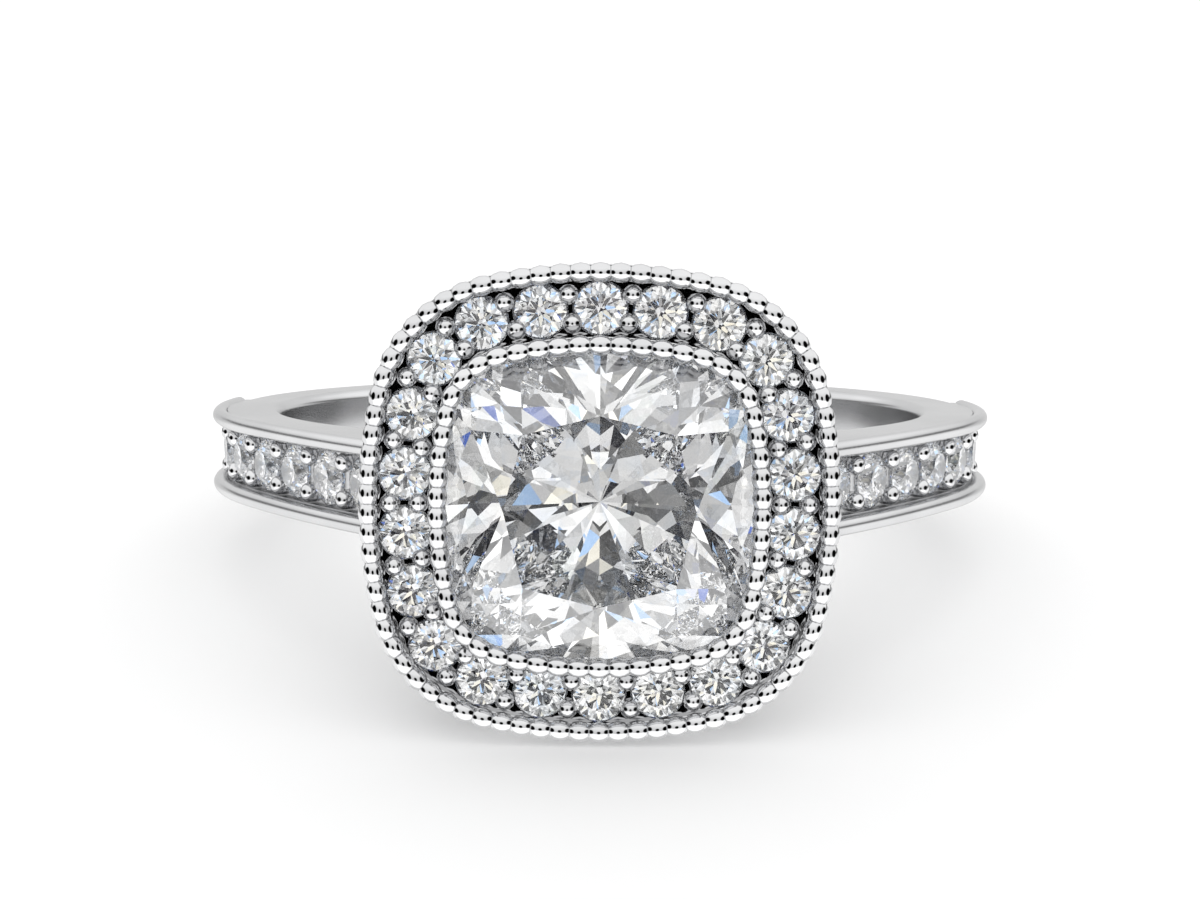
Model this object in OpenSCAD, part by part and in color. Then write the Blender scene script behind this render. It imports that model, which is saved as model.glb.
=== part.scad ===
// Halo ring lying on its side: cushion centre stone in a beaded bezel, a halo of round
// brilliants, and a shank with stones set between two raised wires on each shoulder.
// The origin is the centre of the finger hole. The ring rests on the lower edge of its
// head and on the back of its shank, so the finger axis leans back from +Z.

/* [Finger hole] */
// Diameter of the finger hole
finger_d = 17; // [15.5:0.1:21]
// Radius of the rounded inner edges that make the hoop comfortable
comfort_r = 0.26; // [0.15:0.01:0.4]

/* [Shank] */
// Thickness of the plain hoop, from the finger hole outwards
shank_t = 1.23; // [1.05:0.01:1.6]
// Width of the hoop along the finger
shank_w = 2; // [1.9:0.05:2.6]

/* [Shoulders] */
// Angle from the head at which the shoulders leave the round and sweep up to the head
sweep_from = 58.75; // [58:0.25:62]
// Height of the raised band above the plain hoop
band_h = 0.15; // [0.12:0.01:0.2]
// Diameter of the wires along the band's edges
wire_d = 0.39; // [0.34:0.01:0.42]
// How far each wire's underside is sunk into the band
wire_sink = 0.02; // [0.01:0.005:0.05]
// How far each wire stands out past the hoop's side
wire_out = 0.07; // [0.05:0.01:0.1]
// Diameter of a shoulder stone
shoulder_stone_d = 1.28; // [1.1:0.01:1.3]
// Space between neighbouring shoulder stones
shoulder_stone_gap = 0.31; // [0.2:0.01:0.4]
// Space between the stones and the channel walls
shoulder_wall_gap = 0.03; // [0.02:0.005:0.04]
// Distance from the side of the head to the middle of the first shoulder stone
shoulder_start = 0.24; // [0.1:0.02:0.6]
// Length of band and wires behind the channel
shoulder_tail = 1.4; // [0.8:0.05:2]
// Diameter of the beads that hold the shoulder stones
shoulder_bead_d = 0.48; // [0.36:0.01:0.5]

/* [Centre stone] */
// Width of the cushion stone at its girdle
centre_w = 6.5; // [5.8:0.05:7.2]
// Radius of its four long sides; flatter sides have sharper corners between them
centre_side_r = 8.985; // [8.5:0.005:9.3]
// Thickness of its girdle
centre_girdle = 0.08; // [0.05:0.01:0.14]
// Angle of its crown above the girdle
centre_crown_angle = 34; // [30:1:36]
// Width of its table
centre_table_w = 3.9; // [3.5:0.1:4.3]
// Width of its table from corner to corner
centre_table_corners = 4.4; // [4.1:0.1:4.8]
// Depth of its pavilion below the girdle
centre_pavilion = 2.88; // [2.6:0.02:2.95]

/* [Halo] */
// Diameter of a halo stone
halo_stone_d = 1.09; // [1:0.01:1.14]
// Space between the halo stones and the walls beside them
halo_wall_gap = 0.02; // [0.01:0.005:0.025]
// Diameter of the beads that hold the halo stones
prong_d = 0.43; // [0.36:0.01:0.45]
// Distance of these beads from the row of stones
prong_offset = 0.3; // [0.26:0.01:0.33]
// Height of the beads' centres above the channel floor
prong_lift = 0.06; // [0.02:0.01:0.1]
// Height of the rim's top above the plain hoop
rim_rise = 2.84; // [2.7:0.02:3.4]
// Height of the rim above the channel floor
rim_h = 0.19; // [0.12:0.01:0.3]
// Height of the bezel's top above the rim's top
bezel_rise = 0.51; // [0.4:0.01:0.7]
// Wall thickness of the rim and the bezel
wall_t = 0.34; // [0.32:0.01:0.38]
// Diameter of the milgrain beads
grain_d = 0.4; // [0.38:0.01:0.44]
// Least space between neighbouring milgrain beads
grain_gap = 0.008; // [0.005:0.001:0.03]

/* [Head] */
// How far the bezel's lip reaches over the centre stone
lip = 0.09; // [0.06:0.01:0.12]
// Thickness of the lip at its inner edge
lip_t = 0.1; // [0.06:0.01:0.16]
// Thickness of the plate under the halo stones
tray_t = 0.65; // [0.58:0.01:0.9]
// Depth of the rim's outer wall
skirt_h = 0.7; // [0.5:0.05:0.8]
// How far the skirt's lower edge is bevelled inwards
skirt_bevel = 0.3; // [0.15:0.05:0.4]
// Half width of the collar under the plate
collar_top = 3.7; // [3.6:0.05:3.9]
// Half width of the collar where it meets the shank
collar_foot = 2.75; // [2.65:0.05:3.1]
// Wall thickness of the collar at its foot
collar_t = 0.55; // [0.45:0.01:0.6]
// How far the collar is sunk into the shank
collar_sink = 0.5; // [0.35:0.05:0.6]
// Diameter of the light hole under the centre stone
light_hole_d = 1.1; // [0.9:0.05:1.2]

/* [Fit] */
// Space all round a round stone in its seat
seat_gap = 0.035; // [0.03:0.001:0.04]
// Space all round the centre stone in its bezel
bezel_gap = 0.03; // [0.02:0.005:0.04]

/* [Hidden] */
$fn = 48;
HALO_COUNT = 22;
SHOULDER_COUNT = 7;
SIDES = [-1, 1];
SIDE_NAMES = ["left", "right"];
FULL_TURN = 360;

// Round brilliants: every length is a share of the stone's diameter
TABLE_SHARE = 0.56;
CROWN_SHARE = 0.155;
GIRDLE_SHARE = 0.035;
PAVILION_SHARE = 0.43;
STAR_SHARE = 0.5;
LOWER_HALF_SHARE = 0.77;
MAINS = 8;
HALF_STEP = FULL_TURN / MAINS / 2;

// Cushion brilliant: how far its crown's kites reach, and its pavilion's tiers of corners
// columns: share of the pavilion's depth, whether the tier turns by half a facet
CUSHION_TIERS = [[0.3, true], [0.55, false], [0.8, true]];
CUSHION_STAR_SHARE = 0.5;
// above 1 the pavilion bulges
CUSHION_BELLY = 1.15;
// share of a long side's arc from its middle to the next facet corner
CUSHION_HALF_SHARE = 0.62;
// half turned corners stand in by this share, so that their facets meet in one edge
CUSHION_INSET = 0.985;

// How high stones and beads sit: the stones' girdles and the beads' centres above their floors
grain_lift = 0.02;
halo_stone_lift = 0.04;
shoulder_stone_lift = 0.02;
shoulder_bead_lift = 0.07;
shoulder_bead_inset = 0.01;
// share of a stone's step by which the channel runs on past the first and the last stone
CHANNEL_END_SHARE = 0.62;
// a wire's end cap is slightly fatter than the wire and meets it in a clean circle
CAP_SHARE = 1.03;
// length left inside the ball where two lengths of a wire meet
WIRE_JOINT = 0.05;
// how far sheets of metal that grow together lie inside each other
OVERLAP = 0.15;
FILL_STEPS = 4;

// Hoop
hole_r = finger_d / 2;
hoop_r = hole_r + shank_t;
band_r = hoop_r + band_h;
wire_r = band_r + wire_d / 2 - wire_sink;
wire_z = shank_w / 2 + wire_out - wire_d / 2;

// Cushion outline: four side arcs and four corner arcs with fixed centres. From a side's centre
// to a corner's centre it is 9 across and 40 along, so 41 straight: whole numbers keep the
// joints between the arcs exact.
CENTRES_ACROSS = 9;
CENTRES_ALONG = 40;
CENTRES_APART = 41;
side_centre = centre_side_r - centre_w / 2;
centres_unit = side_centre / (CENTRES_ALONG - CENTRES_ACROSS);
arc_step = centres_unit * CENTRES_APART;
corner_centre = centres_unit * CENTRES_ACROSS;
side_turn = atan(CENTRES_ACROSS / CENTRES_ALONG);
corner_turn = 90 - 2 * side_turn;

// Halo: half widths measured from the head's middle
stone_half = centre_w / 2;
pocket_half = stone_half + bezel_gap;
bezel_in = stone_half - lip;
bezel_out = bezel_in + wall_t;
bezel_row = bezel_in + wall_t / 2;
channel_w = halo_stone_d + 2 * halo_wall_gap;
halo_row = bezel_out + channel_w / 2;
rim_in = bezel_out + channel_w;
rim_row = rim_in + wall_t / 2;
rim_out = rim_in + wall_t;

// Head: heights measured from the finger axis
rim_top = hoop_r + rim_rise;
bezel_top = rim_top + bezel_rise;
channel_floor = rim_top - rim_h;
tray_bottom = channel_floor - tray_t;
skirt_bottom = rim_top - skirt_h;
collar_bottom = hoop_r - collar_sink;
halo_girdle = channel_floor + halo_stone_lift;

// Centre stone: heights of its girdle, crown and culet
crown_slope = tan(centre_crown_angle);
crown_h = (stone_half - centre_table_w / 2) * crown_slope;
lip_under = bezel_top - lip_t;
girdle_top = lip_under - lip * crown_slope - bezel_gap;
girdle_bottom = girdle_top - centre_girdle;
culet = girdle_bottom - centre_pavilion;

// Ledge under the centre stone, which follows the widest facets of its pavilion
ledge_drop = 0.45;
first_tier = CUSHION_TIERS[0][0];
belly_slope = stone_half * (1 - CUSHION_INSET * belly_share(first_tier)) / (centre_pavilion * first_tier);
ledge_half = pocket_half - ledge_drop * belly_slope;
ledge_top = girdle_bottom - bezel_gap;

// Sweep: each shoulder's arc from the round up to the head, centred behind the finger axis,
// so that the wires run into the plate in the middle of the collar's wall
sweep_end = [(collar_foot + collar_top) / 2, tray_bottom + wire_d / 2];
sweep_out = [sin(sweep_from), cos(sweep_from)];
sweep_shift = (sweep_end * sweep_end - wire_r * wire_r) / (2 * (wire_r - sweep_end * sweep_out));
sweep_turn = sweep_from - sweep_angle(wire_r, sweep_end.x);

// Shoulder stones: lengths measured along the floor from the start of the sweep to the head
shoulder_girdle = hoop_r + shoulder_stone_lift;
shoulder_pitch = shoulder_stone_d + shoulder_stone_gap;
sweep_girdle = shoulder_girdle + sweep_shift;
first_stone = length_on(sweep_girdle, sweep_from - sweep_angle(shoulder_girdle, rim_out + shoulder_start));
last_stone = first_stone - (SHOULDER_COUNT - 1) * shoulder_pitch;
channel_turn = degrees_on(sweep_girdle, first_stone + CHANNEL_END_SHARE * shoulder_pitch);
channel_end = sweep_from + degrees_on(shoulder_girdle, CHANNEL_END_SHARE * shoulder_pitch - last_stone);
shoulder_end = channel_end + degrees_on(hoop_r, shoulder_tail);
shoulder_channel_w = shoulder_stone_d + 2 * shoulder_wall_gap;
shoulder_bead_z = shoulder_channel_w / 2 - shoulder_bead_d / 2 - shoulder_bead_inset;
shoulder_bead_r = hoop_r + shoulder_bead_lift;

// Rest: the ring leans until the back of its hoop and its skirt or milgrain touch one floor
rest_tilt = max(lean_on(rim_out, skirt_bottom, 0), lean_on(rim_row, rim_top + grain_lift, grain_d / 2));

function halo_name(i) = str("halo_stone_", i < 10 ? "0" : "", i);
function shoulder_name(side, i) = str(SIDE_NAMES[side], "_shoulder_stone_", i);

// the lean at which a round edge of the head, at a half width and a height, meets the floor
function lean_on(half, height, radius) =
    let (reach = height + hoop_r, drop = half - shank_w / 2)
    atan(drop / reach) + asin(radius / norm([reach, drop]));

// the direction, measured from the head, in which a sweep of this radius has this half width
function sweep_angle(radius, half) =
    asin((half + sweep_shift * sin(sweep_from)) / (radius + sweep_shift));

// a point of a sweep: half width and height above the finger axis
function sweep_point(radius, turn) =
    let (angle = sweep_from - turn)
    (radius + sweep_shift) * [sin(angle), cos(angle)] - sweep_shift * sweep_out;

// the turn, in degrees, that covers a length on a circle
function degrees_on(radius, length) = length / radius * 180 / PI;
function length_on(radius, angle) = radius * angle * PI / 180;

function side_r(half) = half + side_centre;
function corner_r(half) = half + side_centre - arc_step;
function quarter_length(half) =
    2 * length_on(side_r(half), side_turn) + length_on(corner_r(half), corner_turn);
function quarter_turned(p, n) = n == 0 ? p : quarter_turned([p.y, -p.x], n - 1);
function side_point(half, angle) =
    [side_r(half) * sin(angle), side_r(half) * cos(angle) - side_centre];
function corner_point(half, angle) =
    [corner_centre + corner_r(half) * sin(angle), corner_centre + corner_r(half) * cos(angle)];

// a point of the cushion outline, by its distance along the outline from the top middle
function cushion_point(half, along) =
    let (
        quarter = quarter_length(half),
        n = floor(along / quarter),
        rest = along - n * quarter,
        side = length_on(side_r(half), side_turn)
    )
    quarter_turned(
        rest <= side ? side_point(half, degrees_on(side_r(half), rest))
        : rest < quarter - side
            ? corner_point(half, side_turn + degrees_on(corner_r(half), rest - side))
            : let (p = side_point(half, degrees_on(side_r(half), quarter - rest))) [p.y, p.x],
        n
    );

function row_point(half, i, count) = cushion_point(half, (i % count) * 4 * quarter_length(half) / count);
function grain_count(half) = 2 * floor(4 * quarter_length(half) / (grain_d + grain_gap) / 2);

function ring(r, z, count, turn) =
    [for (i = [0:count - 1]) [
        r * cos(turn + i * FULL_TURN / count),
        r * sin(turn + i * FULL_TURN / count),
        z
    ]];

// corners of a round brilliant with its girdle at z = 0, laid out so that each kite is flat
function round_points(d) =
    let (
        r = d / 2,
        top = d * GIRDLE_SHARE / 2,
        table_r = r * TABLE_SHARE,
        kite_r = (table_r + (r - table_r) * STAR_SHARE) / cos(HALF_STEP),
        lower_r = r * (1 - LOWER_HALF_SHARE) / cos(HALF_STEP)
    )
    concat(
        ring(table_r, top + d * CROWN_SHARE, MAINS, 0),
        ring(kite_r, top + d * CROWN_SHARE * (1 - STAR_SHARE), MAINS, HALF_STEP),
        ring(r, top, 2 * MAINS, 0),
        ring(r, -top, 2 * MAINS, 0),
        ring(lower_r, -top - d * PAVILION_SHARE * LOWER_HALF_SHARE, MAINS, HALF_STEP),
        [[0, 0, -top - d * PAVILION_SHARE]]
    );

// the eight or sixteen like points that symmetry makes from one point
function mirrored_eightfold(p) =
    [for (n = [0:3]) for (q = [p, [p.y, p.x, p.z]]) concat(quarter_turned([q.x, q.y], n), [q.z])];

// how wide the cushion's pavilion still is at a share of its depth
function belly_share(depth) = 1 - pow(depth, CUSHION_BELLY);

// corners of the cushion brilliant at its place in the head
function cushion_points() =
    let (
        h = stone_half,
        table_side = centre_table_w / 2,
        corner_half = corner_centre + corner_r(h) / sqrt(2),
        table_corner = centre_table_corners / 2,
        kite_side = (h + table_side) / 2,
        kite_corner = (corner_half * sqrt(2) + table_corner) / 2,
        half = side_point(h, side_turn * CUSHION_HALF_SHARE),
        bend = side_point(h, side_turn)
    )
    concat(
        mirrored_eightfold([0, table_side, girdle_top + crown_h]),
        mirrored_eightfold([table_corner / sqrt(2), table_corner / sqrt(2), girdle_top + crown_h]),
        mirrored_eightfold([
            kite_corner * sqrt(2) - kite_side,
            kite_side,
            girdle_top + crown_h * CUSHION_STAR_SHARE
        ]),
        [for (z = [girdle_top, girdle_bottom])
            for (p = [[0, h], half, bend, [corner_half, corner_half]])
                each mirrored_eightfold([p.x, p.y, z])],
        [for (tier = CUSHION_TIERS)
            let (
                share = belly_share(tier[0]),
                z = girdle_bottom - centre_pavilion * tier[0],
                p = tier[1] ? half * CUSHION_INSET : [0, h],
                corner = corner_half * share
            )
            each concat(
                mirrored_eightfold([p.x * share, p.y * share, z]),
                tier[1] ? [] : mirrored_eightfold([corner, corner, z])
            )],
        [[0, 0, culet]]
    );

// the convex solid whose corners are these points
module cut_stone(points) {
    hull()
        polyhedron(points = points, faces = [[for (i = [0:len(points) - 1]) i]]);
}

module round_stone(d) {
    color("aliceblue")
        cut_stone(round_points(d));
}

// the drilled seat of a round brilliant: the stone's own outline and a gap all round
module stone_seat(d) {
    r = d / 2;
    top = d * GIRDLE_SHARE / 2;
    rotate_extrude()
        polygon([
            [0, -top - d * PAVILION_SHARE - 2 * seat_gap],
            [r + seat_gap, -top - seat_gap],
            [r + seat_gap, top + seat_gap],
            [r * TABLE_SHARE + seat_gap, top + d * CROWN_SHARE + seat_gap],
            [0, top + d * CROWN_SHARE + seat_gap]
        ]);
}

// children stand on the head: their +Z points away from the finger
module on_head() {
    rotate([90, 0, 0])
        children();
}

// children stand on the shoulder at an angle from the head
module on_shoulder(angle) {
    rotate([0, 0, angle])
        on_head()
            children();
}

module as_it_lies() {
    rotate([-rest_tilt, 0, 0])
        children();
}

// the piece of the head above a flat outline
module head_wedge(outline) {
    translate([0, 0, collar_bottom - OVERLAP])
        linear_extrude(bezel_top - collar_bottom + 2 * OVERLAP)
            polygon(outline);
}

// sweeps a profile, drawn as half width and height, round the cushion outline
module around_cushion() {
    // past the end of the line from a side's centre through a corner's centre
    far = 2 * corner_centre;
    reach = far + side_centre;
    for (n = [0:3])
        rotate([0, 0, 90 * n]) {
            intersection() {
                translate([-side_centre, 0, 0])
                    rotate_extrude()
                        translate([side_centre, 0])
                            children();
                head_wedge([[-side_centre, 0], [reach, -far], [reach, far]]);
            }
            intersection() {
                translate([corner_centre, corner_centre, 0])
                    rotate_extrude()
                        translate([side_centre - arc_step, 0])
                            children();
                head_wedge([
                    [corner_centre, corner_centre],
                    [reach, far],
                    [reach, reach],
                    [far, reach]
                ]);
            }
        }
}

module at_halo_stone(i) {
    p = row_point(halo_row, i - 1, HALO_COUNT);
    on_head()
        translate([p.x, p.y, halo_girdle])
            children();
}

// children stand on a shoulder's floor at a length along it; positive lengths are on the sweep
module on_shoulder_floor(side, along) {
    on_shoulder(SIDES[side] * (sweep_from + degrees_on(shoulder_girdle, max(-along, 0))))
        translate([0, 0, -sweep_shift])
            rotate([0, -SIDES[side] * degrees_on(sweep_girdle, max(along, 0)), 0])
                translate([0, 0, sweep_shift])
                    children();
}

function shoulder_along(i) = first_stone - (i - 1) * shoulder_pitch;

module at_shoulder_stone(side, i) {
    on_shoulder_floor(side, shoulder_along(i))
        translate([0, 0, shoulder_girdle])
            children();
}

module hoop() {
    rotate_extrude() {
        translate([hole_r + comfort_r, -shank_w / 2])
            square([shank_t - comfort_r, shank_w]);
        translate([hole_r, comfort_r - shank_w / 2])
            square([shank_t, shank_w - 2 * comfort_r]);
        for (side = SIDES)
            translate([hole_r + comfort_r, side * (shank_w / 2 - comfort_r)])
                circle(comfort_r);
    }
}

// children are a profile beside the finger axis, turned round it on both shoulders
module over_rounds(start, end) {
    for (side = SIDES)
        rotate([0, 0, side * (start + end) / 2 - (end - start) / 2 - 90])
            rotate_extrude(angle = end - start)
                children();
}

// the same profile, swept up to the head; turns are measured from the start of the sweep
module over_sweeps(start, end) {
    for (side = SIDES)
        translate([-side * sweep_shift * sweep_out.x, sweep_shift * sweep_out.y, 0])
            rotate([0, 0, side * (sweep_from - (start + end) / 2) - (end - start) / 2 - 90])
                rotate_extrude(angle = end - start)
                    translate([sweep_shift, 0])
                        children();
}

module band_profile() {
    translate([hoop_r - 2 * OVERLAP, -shank_w / 2])
        square([band_h + 2 * OVERLAP, shank_w]);
}

module raised_band() {
    over_rounds(sweep_from, shoulder_end)
        band_profile();
    over_sweeps(0, sweep_turn)
        band_profile();
}

// solid metal between the hoop and the sweeps
module shoulder_fill() {
    hoop_middle = hoop_r - shank_t / 2;
    inner_from = asin((collar_foot - collar_t / 2) / hoop_middle);
    outline = concat(
        [for (i = [0:FILL_STEPS]) sweep_point(hoop_r - OVERLAP, sweep_turn * i / FILL_STEPS)],
        [for (i = [0:FILL_STEPS])
            let (angle = inner_from + (sweep_from - inner_from) * i / FILL_STEPS)
            hoop_middle * [sin(angle), cos(angle)]]
    );
    for (side = SIDES)
        translate([0, 0, -shank_w / 2])
            linear_extrude(shank_w)
                polygon([for (p = outline) [side * p.x, -p.y]]);
}

module channel_profile() {
    translate([hoop_r, -shoulder_channel_w / 2])
        square([band_h + wire_d, shoulder_channel_w]);
}

module shoulder_channels() {
    over_rounds(sweep_from, channel_end)
        channel_profile();
    over_sweeps(0, channel_turn)
        channel_profile();
}

// each wire is drawn in two lengths, joined by a ball as thick as its end caps
module wires() {
    for (side = SIDES) {
        over_rounds(sweep_from + degrees_on(wire_r, WIRE_JOINT / 2), shoulder_end)
            translate([wire_r, side * wire_z])
                circle(d = wire_d);
        over_sweeps(degrees_on(wire_r + sweep_shift, WIRE_JOINT / 2), sweep_turn)
            translate([wire_r, side * wire_z])
                circle(d = wire_d);
        for (angle = [sweep_from, shoulder_end])
            for (end = SIDES)
                on_shoulder(end * angle)
                    translate([0, side * wire_z, wire_r])
                        sphere(d = wire_d * CAP_SHARE);
    }
}

module shoulder_beads() {
    for (side = [0:1])
        for (i = [0:SHOULDER_COUNT])
            for (edge = SIDES)
                on_shoulder_floor(side, shoulder_along(i + 0.5))
                    translate([0, edge * shoulder_bead_z, shoulder_bead_r])
                        sphere(d = shoulder_bead_d);
}

// rim, channel, bezel and collar in one profile
module head_body() {
    on_head()
        around_cushion()
            polygon([
                [rim_out, rim_top],
                [rim_out, skirt_bottom],
                [rim_out - skirt_bevel, tray_bottom],
                [collar_top, tray_bottom],
                [collar_foot, collar_bottom],
                [collar_foot - collar_t, collar_bottom],
                [ledge_half, ledge_top - ledge_drop],
                [pocket_half, ledge_top],
                [pocket_half, girdle_top + bezel_gap],
                [bezel_in, lip_under],
                [bezel_in, bezel_top],
                [bezel_out, bezel_top],
                [bezel_out, channel_floor],
                [rim_in, channel_floor],
                [rim_in, rim_top]
            ]);
}

module milgrain(half, height) {
    count = grain_count(half);
    on_head()
        for (i = [0:count - 1])
            let (p = row_point(half, i, count))
                translate([p.x, p.y, height + grain_lift])
                    sphere(d = grain_d);
}

module halo_beads() {
    on_head()
        for (i = [0:HALO_COUNT - 1])
            for (side = SIDES)
                let (
                    half = halo_row + side * prong_offset,
                    at = (i + 0.5) * 4 * quarter_length(half) / HALO_COUNT,
                    p = cushion_point(half, at)
                )
                    translate([p.x, p.y, channel_floor + prong_lift])
                        sphere(d = prong_d);
}

module stone_seats() {
    for (i = [1:HALO_COUNT])
        at_halo_stone(i)
            stone_seat(halo_stone_d);
    for (side = [0:1])
        for (i = [1:SHOULDER_COUNT])
            at_shoulder_stone(side, i)
                stone_seat(shoulder_stone_d);
}

module light_hole() {
    on_head()
        translate([0, 0, hole_r / 2])
            cylinder(d = light_hole_d, h = hoop_r - hole_r / 2 + wire_d);
}

module mounting() {
    color("silver")
        as_it_lies()
            difference() {
                union() {
                    difference() {
                        union() {
                            hoop();
                            raised_band();
                            shoulder_fill();
                        }
                        shoulder_channels();
                    }
                    wires();
                    shoulder_beads();
                    head_body();
                    halo_beads();
                    milgrain(rim_row, rim_top);
                    milgrain(bezel_row, bezel_top);
                }
                stone_seats();
                light_hole();
            }
}

module centre_stone() {
    color("aliceblue")
        as_it_lies()
            on_head()
                cut_stone(cushion_points());
}

module halo_stone(i) {
    as_it_lies()
        at_halo_stone(i)
            round_stone(halo_stone_d);
}

module shoulder_stone(side, i) {
    as_it_lies()
        at_shoulder_stone(side, i)
            round_stone(shoulder_stone_d);
}

mounting();
centre_stone();
for (i = [1:HALO_COUNT])
    halo_stone(i);
for (side = [0:1])
    for (i = [1:SHOULDER_COUNT])
        shoulder_stone(side, i);
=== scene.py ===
"""Halo ring on a pale floor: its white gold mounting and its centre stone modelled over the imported
solids, its round stones dressed where they are, and the photo's camera and soft studio light."""

import logging
import math
from collections.abc import Callable
from dataclasses import dataclass, field
from enum import Enum

import bpy
from mathutils import Matrix, Vector


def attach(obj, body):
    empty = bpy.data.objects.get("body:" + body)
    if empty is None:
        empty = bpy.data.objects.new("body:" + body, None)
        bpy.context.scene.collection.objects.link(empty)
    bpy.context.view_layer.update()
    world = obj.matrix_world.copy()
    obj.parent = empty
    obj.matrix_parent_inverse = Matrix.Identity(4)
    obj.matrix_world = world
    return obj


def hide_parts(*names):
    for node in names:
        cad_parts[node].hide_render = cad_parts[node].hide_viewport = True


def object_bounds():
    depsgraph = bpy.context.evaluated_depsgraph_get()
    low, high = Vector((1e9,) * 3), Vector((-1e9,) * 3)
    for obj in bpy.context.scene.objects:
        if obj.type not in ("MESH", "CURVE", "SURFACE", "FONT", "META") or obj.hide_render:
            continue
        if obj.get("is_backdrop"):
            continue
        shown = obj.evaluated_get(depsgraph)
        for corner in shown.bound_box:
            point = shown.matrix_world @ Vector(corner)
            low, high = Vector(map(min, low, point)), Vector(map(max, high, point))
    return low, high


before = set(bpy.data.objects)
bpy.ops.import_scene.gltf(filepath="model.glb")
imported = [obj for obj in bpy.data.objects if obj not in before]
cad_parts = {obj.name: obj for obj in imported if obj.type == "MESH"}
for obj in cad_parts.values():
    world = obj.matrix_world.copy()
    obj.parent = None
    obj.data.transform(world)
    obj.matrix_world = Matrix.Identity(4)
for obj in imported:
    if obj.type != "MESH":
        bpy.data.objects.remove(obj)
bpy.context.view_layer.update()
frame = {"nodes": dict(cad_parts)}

LOG = logging.getLogger("halo_ring")
MM = 0.001
NEAR = 1e-3  # points this close, in millimetres or radians, count as one
QUARTER_TURN = math.pi / 2
SIDES = (-1, 1)
MOUNTING = "mounting"
CARD_FRONT = 0.1  # a card ends this near to the edge of its own half of the studio
Piece = bpy.types.Object
Point = tuple[float, float]
Colour = tuple[float, float, float]
Stops = tuple[tuple[float, Colour], ...]


class Slot(Enum):
    """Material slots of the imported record."""

    WHITE_GOLD = "white_gold"
    DIAMOND = "diamond"


class Row(Enum):
    """The three rows of stones, each with its own scale of sparkle."""

    CENTRE = "centre_stone"
    HALO = "halo_stone"
    SHOULDER = "shoulder_stone"


def grey(level: float) -> Colour:
    """A grey of this brightness."""
    return (level, level, level)


def arc(centre: Point, r: float, first: float, turn: float, steps: int) -> list[Point]:
    """Points on an arc from its first angle over its whole turn, both ends included."""
    angles = [first + n * turn / steps for n in range(steps + 1)]
    return [(centre[0] + r * math.cos(a), centre[1] + r * math.sin(a)) for a in angles]


@dataclass(frozen=True)
class Cushion:
    """The cushion outline: four side arcs and four corner arcs with fixed centres, in mm."""

    stone_half: float = 3.25
    side_radius: float = 8.985
    across: int = 9
    along: int = 40
    apart: int = 41

    @property
    def side_centre(self) -> float:
        """How far a side arc's centre lies behind the middle."""
        return self.side_radius - self.stone_half

    @property
    def unit(self) -> float:
        """Length of one step between the arcs' centres."""
        return self.side_centre / (self.along - self.across)

    @property
    def corner_centre(self) -> float:
        """Both coordinates of a corner arc's centre."""
        return self.unit * self.across

    @property
    def side_turn(self) -> float:
        """Half the angle of a side arc."""
        return math.atan2(self.across, self.along)

    @property
    def corner_turn(self) -> float:
        """Angle of a corner arc."""
        return QUARTER_TURN - 2 * self.side_turn

    def side_r(self, half: float) -> float:
        """Radius of the side arcs at a half width."""
        return half + self.side_centre

    def corner_r(self, half: float) -> float:
        """Radius of the corner arcs at a half width."""
        return half + self.side_centre - self.unit * self.apart

    def quarter_length(self, half: float) -> float:
        """Length of a quarter of the outline at a half width."""
        corner = self.corner_r(half) * self.corner_turn
        return 2 * self.side_r(half) * self.side_turn + corner

    def point(self, half: float, along: float) -> Vector:
        """A point of the outline.

        Args:
            half: Half width of the outline.
            along: Distance along the outline from its top middle.

        Returns:
            The point, right and up from the head's middle.
        """
        quarter = self.quarter_length(half)
        turns = int(along // quarter)
        rest = along - turns * quarter
        side = self.side_r(half) * self.side_turn
        if rest <= side:
            p = self._on_side(half, rest)
        elif rest < quarter - side:
            angle = self.side_turn + (rest - side) / self.corner_r(half)
            arm = Vector((math.sin(angle), math.cos(angle)))
            p = self.corner_centre * Vector((1, 1)) + self.corner_r(half) * arm
        else:
            p = self._on_side(half, quarter - rest).yx
        for _ in range(turns % 4):
            p = Vector((p.y, -p.x))
        return p

    def _on_side(self, half: float, along: float) -> Vector:
        """A point of the top side's right half at a distance from its middle."""
        radius = self.side_r(half)
        angle = along / radius
        return Vector((radius * math.sin(angle), radius * math.cos(angle) - self.side_centre))


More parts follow.
